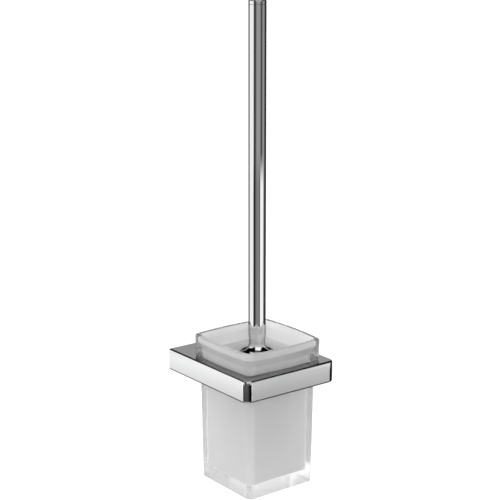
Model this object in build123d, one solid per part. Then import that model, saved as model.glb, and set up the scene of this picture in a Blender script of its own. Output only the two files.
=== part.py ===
from build123d import *
import math
import os

# Wall-hung toilet brush set: chrome frame, satin glass beaker and brush. Millimetres, +Z up.
# The wall is the plane y = 0 and the object stands out to -Y. The origin is midway between the
# wall plate's two screw holes, at half the frame's height.

# Frame
FRAME_WIDTH = 100.0
FRAME_DEPTH = 117.5
FRAME_HEIGHT = 20.0
FRAME_CORNER = 6.5
FRAME_CROWN = 0.1
FRAME_EDGE = 1.6
FRAME_TOP = FRAME_HEIGHT / 2
FRAME_BOTTOM = -FRAME_TOP
SKIN = 3.2
CENTRE_Y = -(FRAME_DEPTH - FRAME_WIDTH / 2)
OPENING_HALF = 38.5
OPENING_CORNER = 5.5
COLLAR_WALL = 3.0
RIB = 2.4
RIB_OFFSET = 16.0

# Pocket behind the frame, wall plate and grub screws
POCKET_HALF_WIDTH = 44.0
POCKET_HALF_HEIGHT = 6.5
POCKET_DEPTH = 14.0
PLATE_HALF_WIDTH = 39.0
PLATE_HALF_HEIGHT = 6.2
PLATE_THICKNESS = 3.0
HOLE_SPACING = 58.0
HOLE_R = 2.6
HOLE_HEAD_R = 4.8
LUG_X = 13.0
LUG_WIDTH = 14.0
LUG_DEPTH = 12.5
LUG_BOTTOM = -5.6
SCREW_Y = -7.5
SCREW_R = 2.5
SCREW_CLEARANCE = 0.05
SCREW_SINK = 0.3
SCREW_POINT_R = 1.5
SCREW_POINT_HEIGHT = 0.9
SCREW_POINT_GAP = 0.2
SCREW_TIP_R = 0.2
HEX_SIDES = 6
HEX_KEY_R = 1.44
HEX_KEY_DEPTH = 2.0

# Cushion ring and glass beaker, about the brush axis
GASKET_HEIGHT = 0.8
GASKET_INNER = 38.8
GASKET_OUTER = 39.8
COLLAR_HALF = 40.8
COLLAR_BULGE = 2.7
COLLAR_CORNER = 6.0
RIM_TOP = 29.8
RIM_WALL = 4.0
RIM_OUTER_ROUND = 2.0
RIM_INNER_ROUND = 1.4
COLLAR_FOOT_ROUND = 1.3
RECESS_FLOOR = 23.0
SHOULDER_Z = 16.0
BODY_TOP_HALF = 37.95
BODY_BOTTOM_HALF = 36.45
BODY_CORNER = 5.0
BODY_FOOT_ROUND = 1.6
GLASS_BOTTOM = -107.3
GLASS_FLOOR = 12.0
CAVITY_TOP_HALF = 32.0
CAVITY_BOTTOM_HALF = 31.2
CAVITY_BULGE = 0.3
CAVITY_CORNER = 4.0
CAVITY_FOOT_ROUND = 1.5
CAVITY_BOTTOM = GLASS_BOTTOM + GLASS_FLOOR

# Handle
HANDLE_R = 7.75
HANDLE_WALL = 1.0
HANDLE_TOP = 326.8
CAP_HEIGHT = 3.6
CAP_SPIGOT = 8.0
CAP_ROUND = 0.6
SEAM = 0.25
NECK_R = 7.2
NECK_TOP = 29.0
FLARE_R = 8.0
FLARE_TOP = 23.8
BELL_LIP = 0.4
BELL_BOTTOM = 14.5
PLUG_LENGTH = 20.0
STUD_R = 4.0
STUD_IN_PLUG = 16.0
STUD_TOP = NECK_TOP + STUD_IN_PLUG
STUD_ENGAGEMENT = 11.0
STUD_CHAMFER = 0.4
STUD_BORE_GAP = 0.1

# Brush head
SEAL_THICKNESS = 0.9
SEAL_R = 12.0
SEAL_BORE_R = 4.3
HEAD_TOP = BELL_BOTTOM - SEAL_THICKNESS
HEAD_FLANGE_R = 13.0
HEAD_FLANGE_HEIGHT = 3.5
HEAD_STEM_R = 8.0
HEAD_STEM_TOP = 5.0
HEAD_STEM_BOTTOM = -1.0
CORE_R = 11.0
CORE_TOP = -5.0
DOME_Z = -70.0
INSERT_R = 6.35
INSERT_LENGTH = 15.0
INSERT_BORE_R = 4.05
INSERT_BORE_DEPTH = 12.5
TUFT_ROWS = 8
TUFTS_PER_ROW = 10
ROW_PITCH = 8.0
TOP_ROW_Z = -10.0
TUFT_HOLE_R = 1.9
TUFT_HOLE_DEPTH = 3.5
TUFT_ROOT_R = 1.6
TUFT_TIP_R = 3.0
BRUSH_R = 27.0
END_REACH = 25.0
END_TUFTS = 6
END_TILT = 45.0

AXIS = Pos(0, CENTRE_Y, 0)


def pillow(half, bulge, corner, z):
    """Square with sides bowed outwards and rounded corners, at height z."""
    points = [(half, -half), (half, half), (-half, half), (-half, -half)]
    sides = [SagittaArc(points[i - 1], points[i], -bulge) for i in range(4)]
    face = make_face(sides)
    return Pos(0, 0, z) * fillet(face.vertices(), corner)


def square(half, corner, z):
    """Square with rounded corners, at height z."""
    return Pos(0, 0, z) * RectangleRounded(2 * half, 2 * half, corner)


def box_between(low, high):
    """Box from its lowest corner to its highest."""
    size = [high[i] - low[i] for i in range(3)]
    centre = [(high[i] + low[i]) / 2 for i in range(3)]
    return Pos(*centre) * Box(*size)


def rod(radius, bottom, top):
    """Upright cylinder on the local Z axis."""
    return Pos(0, 0, (bottom + top) / 2) * Cylinder(radius, top - bottom)


def turned(points):
    """Solid of revolution about Z from (radius, z) points."""
    outline = Polyline(*[(r, 0, z) for r, z in points], close=True)
    return revolve(make_face(outline), Axis.Z)


def screw_places():
    return [Pos(side * LUG_X, SCREW_Y, 0) for side in (-1, 1)]


def band_outline(inset, z):
    """Outside of the band at height z: rounded in front, square at the wall."""
    outline = Rectangle(FRAME_WIDTH - 2 * inset, FRAME_DEPTH - inset)
    front = outline.vertices().group_by(Axis.Y)[0]
    return Pos(0, (inset - FRAME_DEPTH) / 2, z) * fillet(front, FRAME_CORNER - inset)


def frame():
    """Die-cast band: a square ring open below, with a pocket for the wall plate behind it."""
    levels = ((FRAME_CROWN, FRAME_BOTTOM), (0, 0), (FRAME_CROWN, FRAME_TOP))
    body = loft([band_outline(inset, z) for inset, z in levels])
    rims = [e for e in body.edges().filter_by(Plane.XY) if e.center().Y < -FRAME_EDGE]
    body = fillet(rims, FRAME_EDGE)
    opening = AXIS * extrude(square(OPENING_HALF, OPENING_CORNER, FRAME_BOTTOM), FRAME_HEIGHT)
    channel_outer = square(FRAME_WIDTH / 2 - SKIN, FRAME_CORNER - SKIN, FRAME_BOTTOM)
    channel_inner = square(OPENING_HALF + COLLAR_WALL, OPENING_CORNER + COLLAR_WALL, FRAME_BOTTOM)
    channel = AXIS * extrude(channel_outer - channel_inner, FRAME_HEIGHT - SKIN)
    rib_length = FRAME_WIDTH - 2 * SKIN
    for turn in (0, 90):
        for offset in (-RIB_OFFSET, RIB_OFFSET):
            rib = Pos(0, offset, 0) * Box(rib_length, RIB, 2 * FRAME_HEIGHT)
            channel -= AXIS * Rot(0, 0, turn) * rib
    pocket = box_between(
        (-POCKET_HALF_WIDTH, -POCKET_DEPTH, -POCKET_HALF_HEIGHT),
        (POCKET_HALF_WIDTH, 0, POCKET_HALF_HEIGHT),
    )
    body = body - opening - channel - pocket
    for place in screw_places():
        body -= place * rod(SCREW_R + SCREW_CLEARANCE, FRAME_BOTTOM, 0)
    return body


def wall_plate():
    """Bracket: a plate with two countersunk holes and two lugs that carry the frame."""
    size = (2 * PLATE_HALF_WIDTH, 2 * PLATE_HALF_HEIGHT)
    face = Plane.XZ * RectangleRounded(*size, PLATE_THICKNESS)
    plate = extrude(face, PLATE_THICKNESS)
    sink = Cone(HOLE_R, HOLE_HEAD_R, HOLE_HEAD_R - HOLE_R)
    sink_y = -PLATE_THICKNESS + (HOLE_HEAD_R - HOLE_R) / 2
    for side in (-1, 1):
        x = side * HOLE_SPACING / 2
        plate -= Pos(x, -PLATE_THICKNESS / 2, 0) * Rot(90, 0, 0) * Cylinder(HOLE_R, 2 * PLATE_THICKNESS)
        plate -= Pos(x, sink_y, 0) * Rot(90, 0, 0) * sink
        lug = box_between(
            (side * LUG_X - LUG_WIDTH / 2, -LUG_DEPTH, LUG_BOTTOM),
            (side * LUG_X + LUG_WIDTH / 2, -PLATE_THICKNESS, POCKET_HALF_HEIGHT),
        )
        plate += lug
    for place in screw_places():
        height = SCREW_POINT_HEIGHT + SCREW_POINT_GAP
        dimple = Cone(SCREW_POINT_R + SCREW_POINT_GAP, SCREW_TIP_R, height)
        plate -= place * Pos(0, 0, LUG_BOTTOM + height / 2) * dimple
    return plate


def grub_screw(place):
    """Headless screw with a cone point and a hexagon socket, driven from below."""
    bottom = FRAME_BOTTOM + SCREW_SINK
    shoulder = LUG_BOTTOM - SCREW_SINK
    body = rod(SCREW_R, bottom, shoulder)
    point = Cone(SCREW_POINT_R, SCREW_TIP_R, SCREW_POINT_HEIGHT)
    body += Pos(0, 0, shoulder + SCREW_POINT_HEIGHT / 2) * point
    socket = extrude(Pos(0, 0, bottom) * RegularPolygon(HEX_KEY_R, HEX_SIDES), HEX_KEY_DEPTH)
    return place * (body - socket)


def glass_gasket():
    """Clear cushion ring between the frame and the glass collar."""
    outer = square(GASKET_OUTER, OPENING_CORNER, FRAME_TOP)
    inner = square(GASKET_INNER, OPENING_CORNER, FRAME_TOP)
    return AXIS * extrude(outer - inner, GASKET_HEIGHT)


def glass_beaker():
    """Pressed glass: bowed collar that rests on the frame, square body below, one deep cavity."""
    collar_bottom = FRAME_TOP + GASKET_HEIGHT
    collar = pillow(COLLAR_HALF, COLLAR_BULGE, COLLAR_CORNER, collar_bottom)
    collar = extrude(collar, RIM_TOP - collar_bottom)
    collar = fillet(collar.edges().group_by(Axis.Z)[-1], RIM_OUTER_ROUND)
    collar = fillet(collar.edges().group_by(Axis.Z)[0], COLLAR_FOOT_ROUND)
    body = loft([
        square(BODY_BOTTOM_HALF, BODY_CORNER, GLASS_BOTTOM),
        square(BODY_TOP_HALF, BODY_CORNER, collar_bottom),
    ])
    body = fillet(body.edges().group_by(Axis.Z)[0], BODY_FOOT_ROUND)
    inner = COLLAR_HALF - RIM_WALL
    recess = pillow(inner, COLLAR_BULGE, COLLAR_CORNER, RECESS_FLOOR)
    recess = extrude(recess, 2 * (RIM_TOP - RECESS_FLOOR))
    shoulder = loft([
        pillow(CAVITY_TOP_HALF, CAVITY_BULGE, CAVITY_CORNER, SHOULDER_Z),
        pillow(inner, COLLAR_BULGE, COLLAR_CORNER, RECESS_FLOOR),
    ])
    cavity = loft([
        pillow(CAVITY_BOTTOM_HALF, CAVITY_BULGE, CAVITY_CORNER, CAVITY_BOTTOM),
        pillow(CAVITY_TOP_HALF, CAVITY_BULGE, CAVITY_CORNER, SHOULDER_Z),
    ])
    cavity = fillet(cavity.edges().group_by(Axis.Z)[0], CAVITY_FOOT_ROUND)
    beaker = collar + body - recess - shoulder - cavity
    rim = beaker.faces().sort_by(Axis.Z)[-1]
    return AXIS * fillet(rim.inner_wires().edges(), RIM_INNER_ROUND)


def handle_tube():
    tube = rod(HANDLE_R, NECK_TOP, HANDLE_TOP - CAP_HEIGHT)
    tube = chamfer(tube.edges().group_by(Axis.Z)[-1], SEAM)
    return AXIS * (tube - rod(HANDLE_R - HANDLE_WALL, NECK_TOP, HANDLE_TOP))


def handle_cap():
    """Plug with a flat head that closes the tube."""
    seat = HANDLE_TOP - CAP_HEIGHT
    head = rod(HANDLE_R, seat, HANDLE_TOP)
    head = fillet(head.edges().group_by(Axis.Z)[-1], CAP_ROUND)
    head = chamfer(head.edges().group_by(Axis.Z)[0], SEAM)
    return AXIS * (head + rod(HANDLE_R - HANDLE_WALL, seat - CAP_SPIGOT, seat))


def tube_plug():
    """Threaded plug pressed into the tube's lower end."""
    plug = rod(HANDLE_R - HANDLE_WALL, NECK_TOP, NECK_TOP + PLUG_LENGTH)
    return AXIS * (plug - rod(STUD_R, NECK_TOP, STUD_TOP))


def bell():
    """Neck and trumpet flare that covers the brush head, bored for the stud."""
    bore = STUD_R + STUD_BORE_GAP
    lip_r = NECK_R + FLARE_R
    flare_bottom = FLARE_TOP - FLARE_R
    middle = FLARE_R * math.sqrt(0.5)
    flare = ThreePointArc(
        (NECK_R, 0, FLARE_TOP),
        (lip_r - middle, 0, FLARE_TOP - middle),
        (lip_r, 0, flare_bottom),
    )
    rest = Polyline(
        (lip_r, 0, flare_bottom),
        (lip_r + BELL_LIP, 0, flare_bottom - BELL_LIP),
        (lip_r + BELL_LIP, 0, BELL_BOTTOM + BELL_LIP),
        (lip_r, 0, BELL_BOTTOM),
        (bore, 0, BELL_BOTTOM),
        (bore, 0, NECK_TOP),
        (NECK_R, 0, NECK_TOP),
        (NECK_R, 0, FLARE_TOP),
    )
    return AXIS * revolve(make_face(flare.edges() + rest.edges()), Axis.Z)


def stud():
    """Threaded rod, drawn plain at its outside diameter, with chamfered ends."""
    body = rod(STUD_R, HEAD_TOP - STUD_ENGAGEMENT, STUD_TOP)
    return AXIS * chamfer(body.edges().filter_by(GeomType.CIRCLE), STUD_CHAMFER)


def seal_washer():
    return AXIS * (rod(SEAL_R, HEAD_TOP, BELL_BOTTOM) - rod(SEAL_BORE_R, HEAD_TOP, BELL_BOTTOM))


def insert_blank():
    """Hexagonal outside of the threaded insert, which the head core is moulded round."""
    base = Pos(0, 0, HEAD_TOP - INSERT_LENGTH) * RegularPolygon(INSERT_R, HEX_SIDES)
    return extrude(base, INSERT_LENGTH)


def thread_insert():
    return AXIS * (insert_blank() - rod(INSERT_BORE_R, HEAD_TOP - INSERT_BORE_DEPTH, HEAD_TOP))


def tuft_place(z, angle, tilt):
    """Local Z points along a tuft, away from the core; tilt is measured from straight down."""
    return Pos(0, 0, z) * Rot(0, 0, angle) * Rot(0, 180 - tilt, 0)


def side_places(row):
    step = 360.0 / TUFTS_PER_ROW
    start = step / 2 * (row % 2)
    z = TOP_ROW_Z - row * ROW_PITCH
    return [tuft_place(z, start + step * i, 90) for i in range(TUFTS_PER_ROW)]


def end_places():
    step = 360.0 / END_TUFTS
    ring = [tuft_place(DOME_Z, step * i, END_TILT) for i in range(END_TUFTS)]
    return ring + [tuft_place(DOME_Z, 0, 0)]


def head_core():
    """Moulded core with a flange under the bell, a waist, and blind holes for the tufts."""
    core = turned([
        (0, HEAD_TOP),
        (HEAD_FLANGE_R, HEAD_TOP),
        (HEAD_FLANGE_R, HEAD_TOP - HEAD_FLANGE_HEIGHT),
        (HEAD_STEM_R, HEAD_STEM_TOP),
        (HEAD_STEM_R, HEAD_STEM_BOTTOM),
        (CORE_R, CORE_TOP),
        (CORE_R, DOME_Z),
        (0, DOME_Z),
    ])
    core += Pos(0, 0, DOME_Z) * Sphere(CORE_R)
    core -= insert_blank()
    hole = rod(TUFT_HOLE_R, CORE_R - TUFT_HOLE_DEPTH, CORE_R + TUFT_HOLE_DEPTH)
    places = end_places()
    for row in range(TUFT_ROWS):
        places += side_places(row)
    for place in places:
        core -= place * hole
    return AXIS * core


def tuft(reach):
    """One bundle of bristles, which opens out from its blind hole to its tip."""
    root = CORE_R - TUFT_HOLE_DEPTH
    return Pos(0, 0, (root + reach) / 2) * Cone(TUFT_ROOT_R, TUFT_TIP_R, reach - root)


def tufts(places, reach):
    return Compound(children=[AXIS * place * tuft(reach) for place in places])


def main():
    nodes = {
        "frame": frame(),
        "wall_plate": wall_plate(),
        "grub_screw_left": grub_screw(screw_places()[0]),
        "grub_screw_right": grub_screw(screw_places()[1]),
        "glass_gasket": glass_gasket(),
        "glass_beaker": glass_beaker(),
        "handle_tube": handle_tube(),
        "handle_cap": handle_cap(),
        "tube_plug": tube_plug(),
        "bell": bell(),
        "stud": stud(),
        "seal_washer": seal_washer(),
        "head_core": head_core(),
        "thread_insert": thread_insert(),
        "bristle_end": tufts(end_places(), END_REACH),
    }
    for row in range(TUFT_ROWS):
        nodes[f"bristle_row_{row + 1}"] = tufts(side_places(row), BRUSH_R)
    os.makedirs("parts", exist_ok=True)
    for name, shape in nodes.items():
        export_step(shape, f"parts/{name}.step")


main()
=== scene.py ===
import math
import random

import bpy
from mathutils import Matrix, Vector


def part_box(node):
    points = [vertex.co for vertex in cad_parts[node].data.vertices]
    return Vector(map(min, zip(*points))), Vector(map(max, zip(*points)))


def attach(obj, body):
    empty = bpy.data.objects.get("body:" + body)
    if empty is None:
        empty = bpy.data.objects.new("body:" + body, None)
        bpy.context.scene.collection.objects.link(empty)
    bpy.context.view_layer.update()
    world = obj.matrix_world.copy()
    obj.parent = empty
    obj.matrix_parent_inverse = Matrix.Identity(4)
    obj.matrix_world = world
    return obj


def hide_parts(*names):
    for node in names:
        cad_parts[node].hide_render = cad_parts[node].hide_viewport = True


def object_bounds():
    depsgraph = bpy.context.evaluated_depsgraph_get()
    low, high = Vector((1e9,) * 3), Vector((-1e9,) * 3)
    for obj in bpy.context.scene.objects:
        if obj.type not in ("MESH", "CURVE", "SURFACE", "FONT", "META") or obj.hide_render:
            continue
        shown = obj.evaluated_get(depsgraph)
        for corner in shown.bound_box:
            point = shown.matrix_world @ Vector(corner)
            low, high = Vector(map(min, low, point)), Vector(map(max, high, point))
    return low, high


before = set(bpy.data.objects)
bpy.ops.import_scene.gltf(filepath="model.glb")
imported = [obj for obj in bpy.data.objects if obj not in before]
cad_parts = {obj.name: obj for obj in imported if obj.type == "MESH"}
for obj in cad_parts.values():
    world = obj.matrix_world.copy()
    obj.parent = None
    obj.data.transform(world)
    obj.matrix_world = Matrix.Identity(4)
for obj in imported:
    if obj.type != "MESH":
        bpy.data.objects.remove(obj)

CAD_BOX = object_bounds()
MM = 0.001

# Camera: the photograph's viewing angle, from the left and a little above.
AZIMUTH = -37.3
ELEVATION = 13.8
DISTANCE = 1.193
LENS = 95.1
SENSOR = 36.0
AIM_OFFSET = Vector((0.0099, 0.0147, -0.0066))
CLIP = (0.01, 100)

# Lights, hidden from the camera, from mirrors and through glass: name, azimuth, elevation,
# distance and side in metres, watts.
LIGHTS = (
    ("overhead", -60, 72, 1.5, 1.6, 2),
    ("key_left", -100, -8, 1.4, 1.2, 8),
    ("fill_right", 35, -8, 1.4, 1.2, 5),
)

# Pale floor, well below the object; sizes in metres.
FLOOR_SIZE = 30
FLOOR_DROP = 0.15
FLOOR_GREY = 0.25
FLOOR_ROUGHNESS = 0.9
FLOOR_GLOW = 0.9

# Middle of the beaker's wall, which tells its inside from its outside.
AXIS_Y = -67.5 * MM
BODY_CORE = 30.2 * MM
BODY_ROUND = 4.5 * MM
GLASS_FLOOR_Z = -100 * MM
COLLAR_CORE = 32.8 * MM
COLLAR_ROUND = 6.0 * MM
COLLAR_MID = 38.8 * MM
COLLAR_BULGE = 2.7 * MM
SHOULDER_SPLIT_Z = 13.5 * MM
RIM_Z = 29.3 * MM

# Satin glass: tones of its clear outside and its etched inside, and how rough each is.
# The collar's etched inside is painted darker than the body's: painted shade.
GLASS_IOR = 1.5
CLEAR_TONE = 0.945
BODY_TONES = (0.97, 0.99)
COLLAR_SHADE_TONE = 0.9
CLEAR_ROUGHNESS = (0.2, 0.25)
ETCHED_ROUGHNESS = (0.42, 0.55)
ETCH_TRANSMISSION = 0.25

# Polished chrome.
CHROME_TONES = ((0.575, 0.578, 0.581, 1), (0.62, 0.62, 0.622, 1))
CHROME_ROUGHNESS = (0.004, 0.02)

# Fine relief of every finish but chrome.
RELIEF_DEPTH = 0.2 * MM
GLASS_RELIEF = 0.04
PLAIN_RELIEF = 0.1
RELIEF_FINER = 12

# Brush head, as the CAD model spaces it, and the filaments of one tuft.
TUFTS_PER_ROW = 10
ROWS = 8
END_TUFTS = 6
END_TILT = 45.0
CORE_R = 11.0 * MM
DOME_Z = -70.0 * MM
HOLE_DEPTH = 3.0 * MM
FILAMENTS = 42
FILAMENT_R = 0.16 * MM
ROOT_SPREAD = 1.4 * MM
TIP_SPREAD = 2.8 * MM
TIP_JITTER = 0.7 * MM
BEND = 0.5 * MM
SWAY = 0.9
STRAND_SIDES = 3
STRAND_TAPER = 0.25
STRAND_STEPS = (0.0, 0.33, 0.66, 1.0)


def linear(value):
    """Linear light for an 8-bit grey."""
    v = value / 255
    return v / 12.92 if v <= 0.04045 else ((v + 0.055) / 1.055) ** 2.4


def direction(azimuth, elevation):
    """Unit vector from the object towards a camera at these angles in degrees."""
    a, e = math.radians(azimuth), math.radians(elevation)
    return Vector((math.sin(a) * math.cos(e), -math.cos(a) * math.cos(e), math.sin(e)))


def make_camera():
    low, high = CAD_BOX
    aim = (Vector(low) + Vector(high)) / 2 + AIM_OFFSET
    back = direction(AZIMUTH, ELEVATION)
    data = bpy.data.cameras.new("camera")
    data.lens = LENS
    data.sensor_width = SENSOR
    data.clip_start, data.clip_end = CLIP
    camera = bpy.data.objects.new("camera", data)
    camera.location = aim + back * DISTANCE
    camera.rotation_euler = back.to_track_quat("Z", "Y").to_euler()
    bpy.context.scene.collection.objects.link(camera)
    bpy.context.scene.camera = camera


class Graph:
    """Short helper for building node trees."""

    def __init__(self, tree):
        self.tree = tree
        tree.nodes.clear()

    def node(self, kind, **values):
        made = self.tree.nodes.new(kind)
        for name, value in values.items():
            setattr(made, name, value)
        return made

    def link(self, source, target):
        self.tree.links.new(source, target)

    def math(self, operation, a, b=None):
        made = self.node("ShaderNodeMath", operation=operation)
        for socket, value in zip(made.inputs, (a, b)):
            if value is None:
                continue
            if isinstance(value, (int, float)):
                socket.default_value = value
            else:
                self.link(value, socket)
        return made.outputs[0]

    def dot(self, vector, constant):
        made = self.node("ShaderNodeVectorMath", operation="DOT_PRODUCT")
        self.link(vector, made.inputs[0])
        made.inputs[1].default_value = constant
        return made.outputs["Value"]

    def ramp(self, factor, stops):
        made = self.node("ShaderNodeValToRGB")
        elements = made.color_ramp.elements
        while len(elements) < len(stops):
            elements.new(0.5)
        for element, (place, value) in zip(elements, sorted(stops)):
            element.position = place
            element.color = (value, value, value, 1)
        self.link(factor, made.inputs["Fac"])
        return made.outputs["Color"]

    def mix(self, factor, a, b):
        made = self.node("ShaderNodeMix", data_type="RGBA")
        for socket, value in ((made.inputs[0], factor), (made.inputs[6], a), (made.inputs[7], b)):
            if isinstance(value, (int, float, tuple)):
                socket.default_value = value
            else:
                self.link(value, socket)
        return made.outputs[2]

    def smooth(self, value, low, high):
        made = self.node("ShaderNodeMapRange", interpolation_type="SMOOTHSTEP")
        made.inputs["From Min"].default_value = low
        made.inputs["From Max"].default_value = high
        self.link(value, made.inputs["Value"])
        return made.outputs["Result"]


# The studio that chrome mirrors, as rings of (angle, grey) stops round the object. Angles are
# degrees from the camera's side, positive to its right; greys are on the 8-bit scale. It is a
# plain set: a long soft box on the left with a seam in it, a narrower one on the right, a grey
# wall behind the camera, black gaps between them, and a grey wall at the back.
SOFT_BOX = 250
GAP = 20
BACK = ((-180, 150), (-165, 150), (165, 150), (180, 150))
RIGHT_EDGE = ((115, 30), (120, 70), (130, 70), (140, 10), (160, 30))
FRAME_RING = BACK + (
    (-160, 60), (-125, 150), (-115, 260), (-80, 270), (-72, 60), (-68, 10), (-60, 10), (-55, 90),
    (-10, 90), (20, 60), (30, 10), (57, 10), (62, 120), (66, SOFT_BOX), (71, SOFT_BOX),
    (75, 205), (80, 205), (85, 50), (90, 10),
) + RIGHT_EDGE
LOW_RING = BACK + (
    (-160, 50), (-120, 110), (-115, SOFT_BOX), (-90, SOFT_BOX), (-86, 210), (-82, SOFT_BOX),
    (-60, SOFT_BOX), (-45, GAP), (-35, GAP), (-5, 130), (20, 130), (35, 70), (43, SOFT_BOX),
    (80, SOFT_BOX), (90, 150), (105, 70),
) + RIGHT_EDGE
HIGH_RING = BACK + (
    (-160, 50), (-120, 110), (-115, SOFT_BOX), (-85, SOFT_BOX), (-78, 220), (-70, SOFT_BOX),
    (-60, SOFT_BOX), (-40, GAP), (-30, GAP), (-5, 150), (30, 150), (50, 70), (60, 70),
    (75, 150), (95, 150), (105, 70),
) + RIGHT_EDGE
SKY_RING = (
    (-180, 200), (-150, 200), (-140, 10), (-110, 10), (-105, 240), (-60, SOFT_BOX), (-50, 40),
    (-30, 120), (-15, 240), (60, 240), (70, 90), (90, 10), (140, 10), (150, 200), (180, 200),
)
CEILING_RING = ((-180, 3), (-30, 3), (-20, SOFT_BOX), (50, SOFT_BOX), (60, 3), (180, 3))
TOP_RING = ((-180, 230), (-125, 215), (-100, 3), (100, 3), (125, 215), (180, 230))
BELOW_RING = ((-180, 10), (-90, 10), (-80, 200), (50, 200), (60, 10), (180, 10))

# Heights are sines of the elevation. Each ring takes over from the one before it in its range.
RISING_RINGS = (
    (-0.315, -0.3, LOW_RING),
    (-0.195, -0.165, HIGH_RING),
    (0.1, 0.2, SKY_RING),
    (0.34, 0.4, CEILING_RING),
    (0.8, 0.87, TOP_RING),
)
BELOW_HEIGHTS = (-0.5, -0.4)
ZENITH_HEIGHTS = (0.94, 0.98)
ZENITH_GREY = 150
# The frame's ring darkens downwards, for the gradient on the frame's faces.
FALL_HEIGHTS = (-0.37, -0.3)
FALL = (0.67, 0.97)

# Chrome mirrors a bit over half the light, so its studio is this much brighter than its greys.
STUDIO_GAIN = 1.58
# The surround for everything else: two greys, the brighter one on the camera's left.
SOFT_DIM = 224
SOFT_BRIGHT = 292
SOFT_AZIMUTH = AZIMUTH - 70
SOFT_ELEVATION = 10


def even(value):
    """Colour with the same red, green and blue."""
    return (value,) * 3 + (1,)


def grey(value):
    return even(linear(value))


def ring(g, place, stops):
    """Brightness round the horizon: a ramp with its angle stops."""
    return g.ramp(place, [(angle / 360 + 0.5, linear(value)) for angle, value in stops])


def make_world():
    """Studio round the object: soft boxes, dark gaps and a dark ceiling for the chrome to mirror,
    and a plain soft surround, brighter on the left, for everything else but the camera, which
    sees white."""
    world = bpy.data.worlds.new("studio")
    bpy.context.scene.world = world
    world.use_nodes = True
    g = Graph(world.node_tree)
    ray = g.node("ShaderNodeTexCoord").outputs["Generated"]
    towards = direction(AZIMUTH, 0)
    right = Vector((-towards.y, towards.x, 0))
    turn = g.math("ARCTAN2", g.dot(ray, right), g.dot(ray, towards))
    place = g.math("ADD", g.math("DIVIDE", turn, 2 * math.pi), 0.5)
    height = g.dot(ray, (0, 0, 1))
    fall = g.mix(g.smooth(height, *FALL_HEIGHTS), even(FALL[0]), even(FALL[1]))
    darkened = g.node("ShaderNodeMix", data_type="RGBA", blend_type="MULTIPLY")
    darkened.inputs[0].default_value = 1
    g.link(ring(g, place, FRAME_RING), darkened.inputs[6])
    g.link(fall, darkened.inputs[7])
    studio = darkened.outputs[2]
    for start, end, stops in RISING_RINGS:
        studio = g.mix(g.smooth(height, start, end), studio, ring(g, place, stops))
    studio = g.mix(g.smooth(height, *ZENITH_HEIGHTS), studio, grey(ZENITH_GREY))
    studio = g.mix(g.smooth(height, *BELOW_HEIGHTS), ring(g, place, BELOW_RING), studio)
    side = g.smooth(g.dot(ray, direction(SOFT_AZIMUTH, SOFT_ELEVATION)), -1, 1)
    soft = g.mix(side, grey(SOFT_DIM), grey(SOFT_BRIGHT))
    path = g.node("ShaderNodeLightPath")
    unrefracted = g.math("SUBTRACT", 1, path.outputs["Is Transmission Ray"])
    mirrored = g.math("MULTIPLY", path.outputs["Is Glossy Ray"], unrefracted)
    seen = g.mix(mirrored, soft, studio)
    background = g.node("ShaderNodeBackground")
    g.link(g.mix(path.outputs["Is Camera Ray"], seen, grey(255)), background.inputs["Color"])
    gain = g.math("ADD", g.math("MULTIPLY", mirrored, STUDIO_GAIN - 1), 1)
    g.link(gain, background.inputs["Strength"])
    output = g.node("ShaderNodeOutputWorld")
    g.link(background.outputs[0], output.inputs["Surface"])


def area_light(name, place, aim, side, power):
    data = bpy.data.lights.new(name, "AREA")
    data.shape = "RECTANGLE"
    data.size = data.size_y = side
    data.energy = power
    light = bpy.data.objects.new(name, data)
    light.location = place
    light.rotation_euler = (place - aim).to_track_quat("Z", "Y").to_euler()
    light.visible_camera = False
    light.visible_glossy = False
    light.visible_transmission = False
    bpy.context.scene.collection.objects.link(light)


def make_lights():
    low, high = CAD_BOX
    aim = (Vector(low) + Vector(high)) / 2
    for name, azimuth, elevation, distance, side, power in LIGHTS:
        area_light(name, aim + direction(azimuth, elevation) * distance, aim, side, power)


def material(name):
    made = bpy.data.materials.new(name)
    made.use_nodes = True
    g = Graph(made.node_tree)
    shader = g.node("ShaderNodeBsdfPrincipled")
    output = g.node("ShaderNodeOutputMaterial")
    g.link(shader.outputs[0], output.inputs["Surface"])
    return made, g, shader


def noise(g, scale, detail=3.0, stretch=(1, 1, 1)):
    """Object-space noise, so it moves with the piece."""
    coordinates = g.node("ShaderNodeTexCoord").outputs["Object"]
    mapping = g.node("ShaderNodeMapping")
    mapping.inputs["Scale"].default_value = stretch
    g.link(coordinates, mapping.inputs["Vector"])
    texture = g.node("ShaderNodeTexNoise")
    texture.inputs["Scale"].default_value = scale
    texture.inputs["Detail"].default_value = detail
    g.link(mapping.outputs[0], texture.inputs["Vector"])
    return texture.outputs["Fac"]


def remap(g, value, low, high):
    made = g.node("ShaderNodeMapRange")
    made.inputs["To Min"].default_value = low
    made.inputs["To Max"].default_value = high
    g.link(value, made.inputs["Value"])
    return made.outputs["Result"]


def bump(g, shader, height, strength):
    made = g.node("ShaderNodeBump")
    made.inputs["Strength"].default_value = strength
    made.inputs["Distance"].default_value = RELIEF_DEPTH
    g.link(height, made.inputs["Height"])
    g.link(made.outputs[0], shader.inputs["Normal"])


def chrome(name, edge):
    """Polished chrome; edge is how much it mirrors at a grazing angle."""
    made, g, shader = material(name)
    shader.inputs["Metallic"].default_value = 1.0
    g.link(g.mix(noise(g, 9), *CHROME_TONES), shader.inputs["Base Color"])
    shader.inputs["Specular Tint"].default_value = even(edge)
    g.link(remap(g, noise(g, 60), *CHROME_ROUGHNESS), shader.inputs["Roughness"])
    return made


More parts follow.
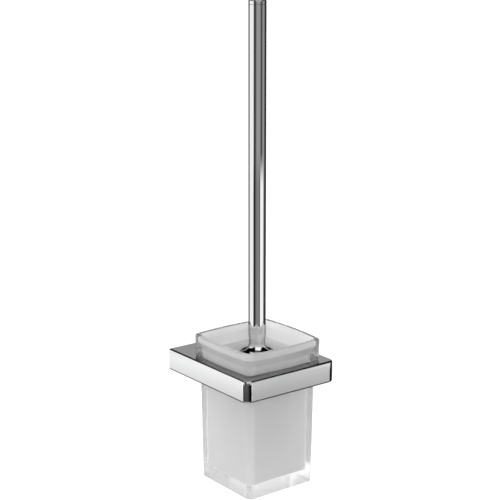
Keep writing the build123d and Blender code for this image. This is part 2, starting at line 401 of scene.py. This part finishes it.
def inner_surface(g):
    """Two masks for the beaker: 1 on its etched inside, which is the side of mid-wall towards its
    axis, and 0 on its clear outside; then 1 in the collar and 0 in the body, which places the
    collar's painted shade."""
    split = g.node("ShaderNodeSeparateXYZ")
    g.link(g.node("ShaderNodeTexCoord").outputs["Object"], split.inputs[0])
    x = g.math("ABSOLUTE", split.outputs["X"])
    y = g.math("ABSOLUTE", g.math("SUBTRACT", split.outputs["Y"], AXIS_Y))
    z = split.outputs["Z"]

    def reach(core):
        """Distance beyond a square core, so that corners count as rounded."""
        u = g.math("MAXIMUM", g.math("SUBTRACT", x, core), 0)
        v = g.math("MAXIMUM", g.math("SUBTRACT", y, core), 0)
        return g.math("SQRT", g.math("ADD", g.math("MULTIPLY", u, u), g.math("MULTIPLY", v, v)))

    body = g.math("LESS_THAN", reach(BODY_CORE), BODY_ROUND)
    body = g.math("MULTIPLY", body, g.math("GREATER_THAN", z, GLASS_FLOOR_Z))
    along = g.math("DIVIDE", g.math("MINIMUM", x, y), COLLAR_MID)
    bow = g.math("MULTIPLY", g.math("SUBTRACT", 1, g.math("MULTIPLY", along, along)), COLLAR_BULGE)
    collar = g.math("LESS_THAN", reach(COLLAR_CORE), g.math("ADD", bow, COLLAR_ROUND))
    collar = g.math("MULTIPLY", collar, g.math("LESS_THAN", z, RIM_Z))
    above = g.math("GREATER_THAN", z, SHOULDER_SPLIT_Z)
    body = g.math("MULTIPLY", body, g.math("SUBTRACT", 1, above))
    return g.math("ADD", body, g.math("MULTIPLY", collar, above)), above


def satin_glass():
    made, g, shader = material("satin_glass")
    inside, above = inner_surface(g)
    tone = g.mix(noise(g, 30), even(BODY_TONES[0]), even(BODY_TONES[1]))
    # The collar's etched inside takes the darker tone: painted shade.
    tone = g.mix(above, tone, even(COLLAR_SHADE_TONE))
    g.link(g.mix(inside, even(CLEAR_TONE), tone), shader.inputs["Base Color"])
    shader.inputs["IOR"].default_value = GLASS_IOR
    etched = remap(g, noise(g, 400), *ETCHED_ROUGHNESS)
    clear = remap(g, noise(g, 250), *CLEAR_ROUGHNESS)
    rough = g.node("ShaderNodeMix", data_type="FLOAT")
    for socket, value in ((0, inside), (2, clear), (3, etched)):
        g.link(value, rough.inputs[socket])
    g.link(rough.outputs[0], shader.inputs["Roughness"])
    g.link(remap(g, inside, 1.0, ETCH_TRANSMISSION), shader.inputs["Transmission Weight"])
    bump(g, shader, noise(g, 2500, 2), GLASS_RELIEF)
    return made


def plain(name, low, high, rough, metallic=0.0, scale=80, stretch=(1, 1, 1)):
    """Two close tones, varied roughness and a fine surface relief."""
    made, g, shader = material(name)
    shader.inputs["Metallic"].default_value = metallic
    pattern = noise(g, scale, 4, stretch)
    g.link(g.mix(pattern, low + (1,), high + (1,)), shader.inputs["Base Color"])
    g.link(remap(g, pattern, *rough), shader.inputs["Roughness"])
    bump(g, shader, noise(g, scale * RELIEF_FINER, 2, stretch), PLAIN_RELIEF)
    return made


def paint(made, *names):
    for name in names:
        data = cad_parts[name].data
        data.materials.clear()
        data.materials.append(made)


def filament(points, radius):
    """Tapered strand through the points: its vertices and faces."""
    vertices, faces = [], []
    along = (points[-1] - points[0]).normalized()
    side = along.orthogonal().normalized()
    other = along.cross(side)
    n = STRAND_SIDES
    for i, point in enumerate(points):
        r = radius * (1 - STRAND_TAPER * i / (len(points) - 1))
        for k in range(n):
            angle = 2 * math.pi * k / n
            vertices.append(point + r * (side * math.cos(angle) + other * math.sin(angle)))
    for i in range(len(points) - 1):
        for k in range(n):
            a, b = n * i + k, n * i + (k + 1) % n
            faces.append((a, b, b + n, a + n))
    last = n * (len(points) - 1)
    faces.append(tuple(reversed(range(n))))
    faces.append(tuple(range(last, last + n)))
    return vertices, faces


def disc_point(rng, radius):
    angle = rng.uniform(0, 2 * math.pi)
    r = radius * math.sqrt(rng.random())
    return r * math.cos(angle), r * math.sin(angle)


def tuft_strands(rng, origin, along, reach, vertices, faces):
    """One bundle of filaments from its hole in the core out to its tip."""
    side = along.orthogonal().normalized()
    other = along.cross(side)
    for _ in range(FILAMENTS):
        u, v = disc_point(rng, 1.0)
        length = reach - rng.uniform(0, TIP_JITTER)
        bend = Vector(disc_point(rng, BEND)).to_3d()
        points = []
        for t in STRAND_STEPS:
            spread = ROOT_SPREAD + (TIP_SPREAD - ROOT_SPREAD) * t
            distance = CORE_R - HOLE_DEPTH + (length - CORE_R + HOLE_DEPTH) * t
            sway = math.sin(math.pi * t * SWAY)
            offset = side * (u * spread + bend.x * sway) + other * (v * spread + bend.y * sway)
            points.append(origin + along * distance + offset)
        strand, skin = filament(points, FILAMENT_R)
        first = len(vertices)
        vertices.extend(strand)
        faces.extend(tuple(first + i for i in face) for face in skin)


def tuft_piece(node, tufts, made):
    """Bristles that stand for a CAD node; tufts are (origin, direction, reach)."""
    rng = random.Random(node)
    vertices, faces = [], []
    for origin, along, reach in tufts:
        tuft_strands(rng, origin, along, reach, vertices, faces)
    mesh = bpy.data.meshes.new(node + "_filaments")
    mesh.from_pydata(vertices, [], faces)
    mesh.materials.append(made)
    piece = bpy.data.objects.new(node + "_filaments", mesh)
    bpy.context.scene.collection.objects.link(piece)
    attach(piece, "brush_head")
    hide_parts(node)


def make_bristles(made):
    low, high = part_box("handle_tube")
    axis_x, axis_y = (low.x + high.x) / 2, (low.y + high.y) / 2
    for row in range(ROWS):
        node = f"bristle_row_{row + 1}"
        low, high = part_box(node)
        z = (low.z + high.z) / 2
        reach = max(high.x - axis_x, high.y - axis_y)
        step = 2 * math.pi / TUFTS_PER_ROW
        origin = Vector((axis_x, axis_y, z))
        start = step / 2 * (row % 2)
        tufts = []
        for i in range(TUFTS_PER_ROW):
            angle = start + step * i
            tufts.append((origin, Vector((math.cos(angle), math.sin(angle), 0)), reach))
        tuft_piece(node, tufts, made)
    low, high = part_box("bristle_end")
    origin = Vector((axis_x, axis_y, DOME_Z))
    reach = origin.z - low.z
    tilt = math.radians(END_TILT)
    tufts = [(origin, Vector((0, 0, -1)), reach)]
    for i in range(END_TUFTS):
        angle = 2 * math.pi * i / END_TUFTS
        out = Vector((math.cos(angle), math.sin(angle), 0)) * math.sin(tilt)
        tufts.append((origin, out - Vector((0, 0, math.cos(tilt))), reach))
    tuft_piece("bristle_end", tufts, made)


def make_floor():
    low, _ = CAD_BOX
    mesh = bpy.data.meshes.new("floor")
    signs = ((-1, -1), (1, -1), (1, 1), (-1, 1))
    corners = [(FLOOR_SIZE * x, FLOOR_SIZE * y, low[2] - FLOOR_DROP) for x, y in signs]
    mesh.from_pydata(corners, [], [(0, 1, 2, 3)])
    made, _, shader = material("floor")
    shader.inputs["Base Color"].default_value = even(FLOOR_GREY)
    shader.inputs["Roughness"].default_value = FLOOR_ROUGHNESS
    shader.inputs["Emission Color"].default_value = even(1)
    shader.inputs["Emission Strength"].default_value = FLOOR_GLOW
    mesh.materials.append(made)
    floor = bpy.data.objects.new("floor", mesh)
    floor.visible_glossy = False
    bpy.context.scene.collection.objects.link(floor)


def main():
    bpy.context.scene.view_settings.view_transform = "Standard"
    make_camera()
    make_world()
    make_lights()
    make_floor()
    paint(chrome("chrome_cast", 0.25), "frame")
    paint(chrome("chrome_turned", 0.0), "handle_tube", "handle_cap", "bell")
    paint(satin_glass(), "glass_beaker")
    steel = plain("steel", (0.55, 0.55, 0.56), (0.68, 0.68, 0.69), (0.25, 0.4),
                  metallic=1.0, scale=60, stretch=(1, 1, 8))
    paint(steel, "wall_plate", "grub_screw_left", "grub_screw_right", "stud")
    brass = plain("brass", (0.72, 0.52, 0.24), (0.83, 0.63, 0.32), (0.2, 0.35),
                  metallic=1.0, scale=60, stretch=(1, 1, 20))
    paint(brass, "tube_plug", "thread_insert")
    rubber = plain("seal_rubber", (0.02, 0.02, 0.02), (0.035, 0.035, 0.035), (0.6, 0.75))
    paint(rubber, "seal_washer")
    cushion = plain("clear_cushion", (0.3, 0.3, 0.3), (0.36, 0.36, 0.36), (0.4, 0.5))
    paint(cushion, "glass_gasket")
    white = plain("white_plastic", (0.66, 0.66, 0.65), (0.74, 0.74, 0.73), (0.25, 0.35))
    paint(white, "head_core")
    make_bristles(plain("nylon", (0.6, 0.61, 0.61), (0.72, 0.72, 0.72), (0.3, 0.45)))


main()
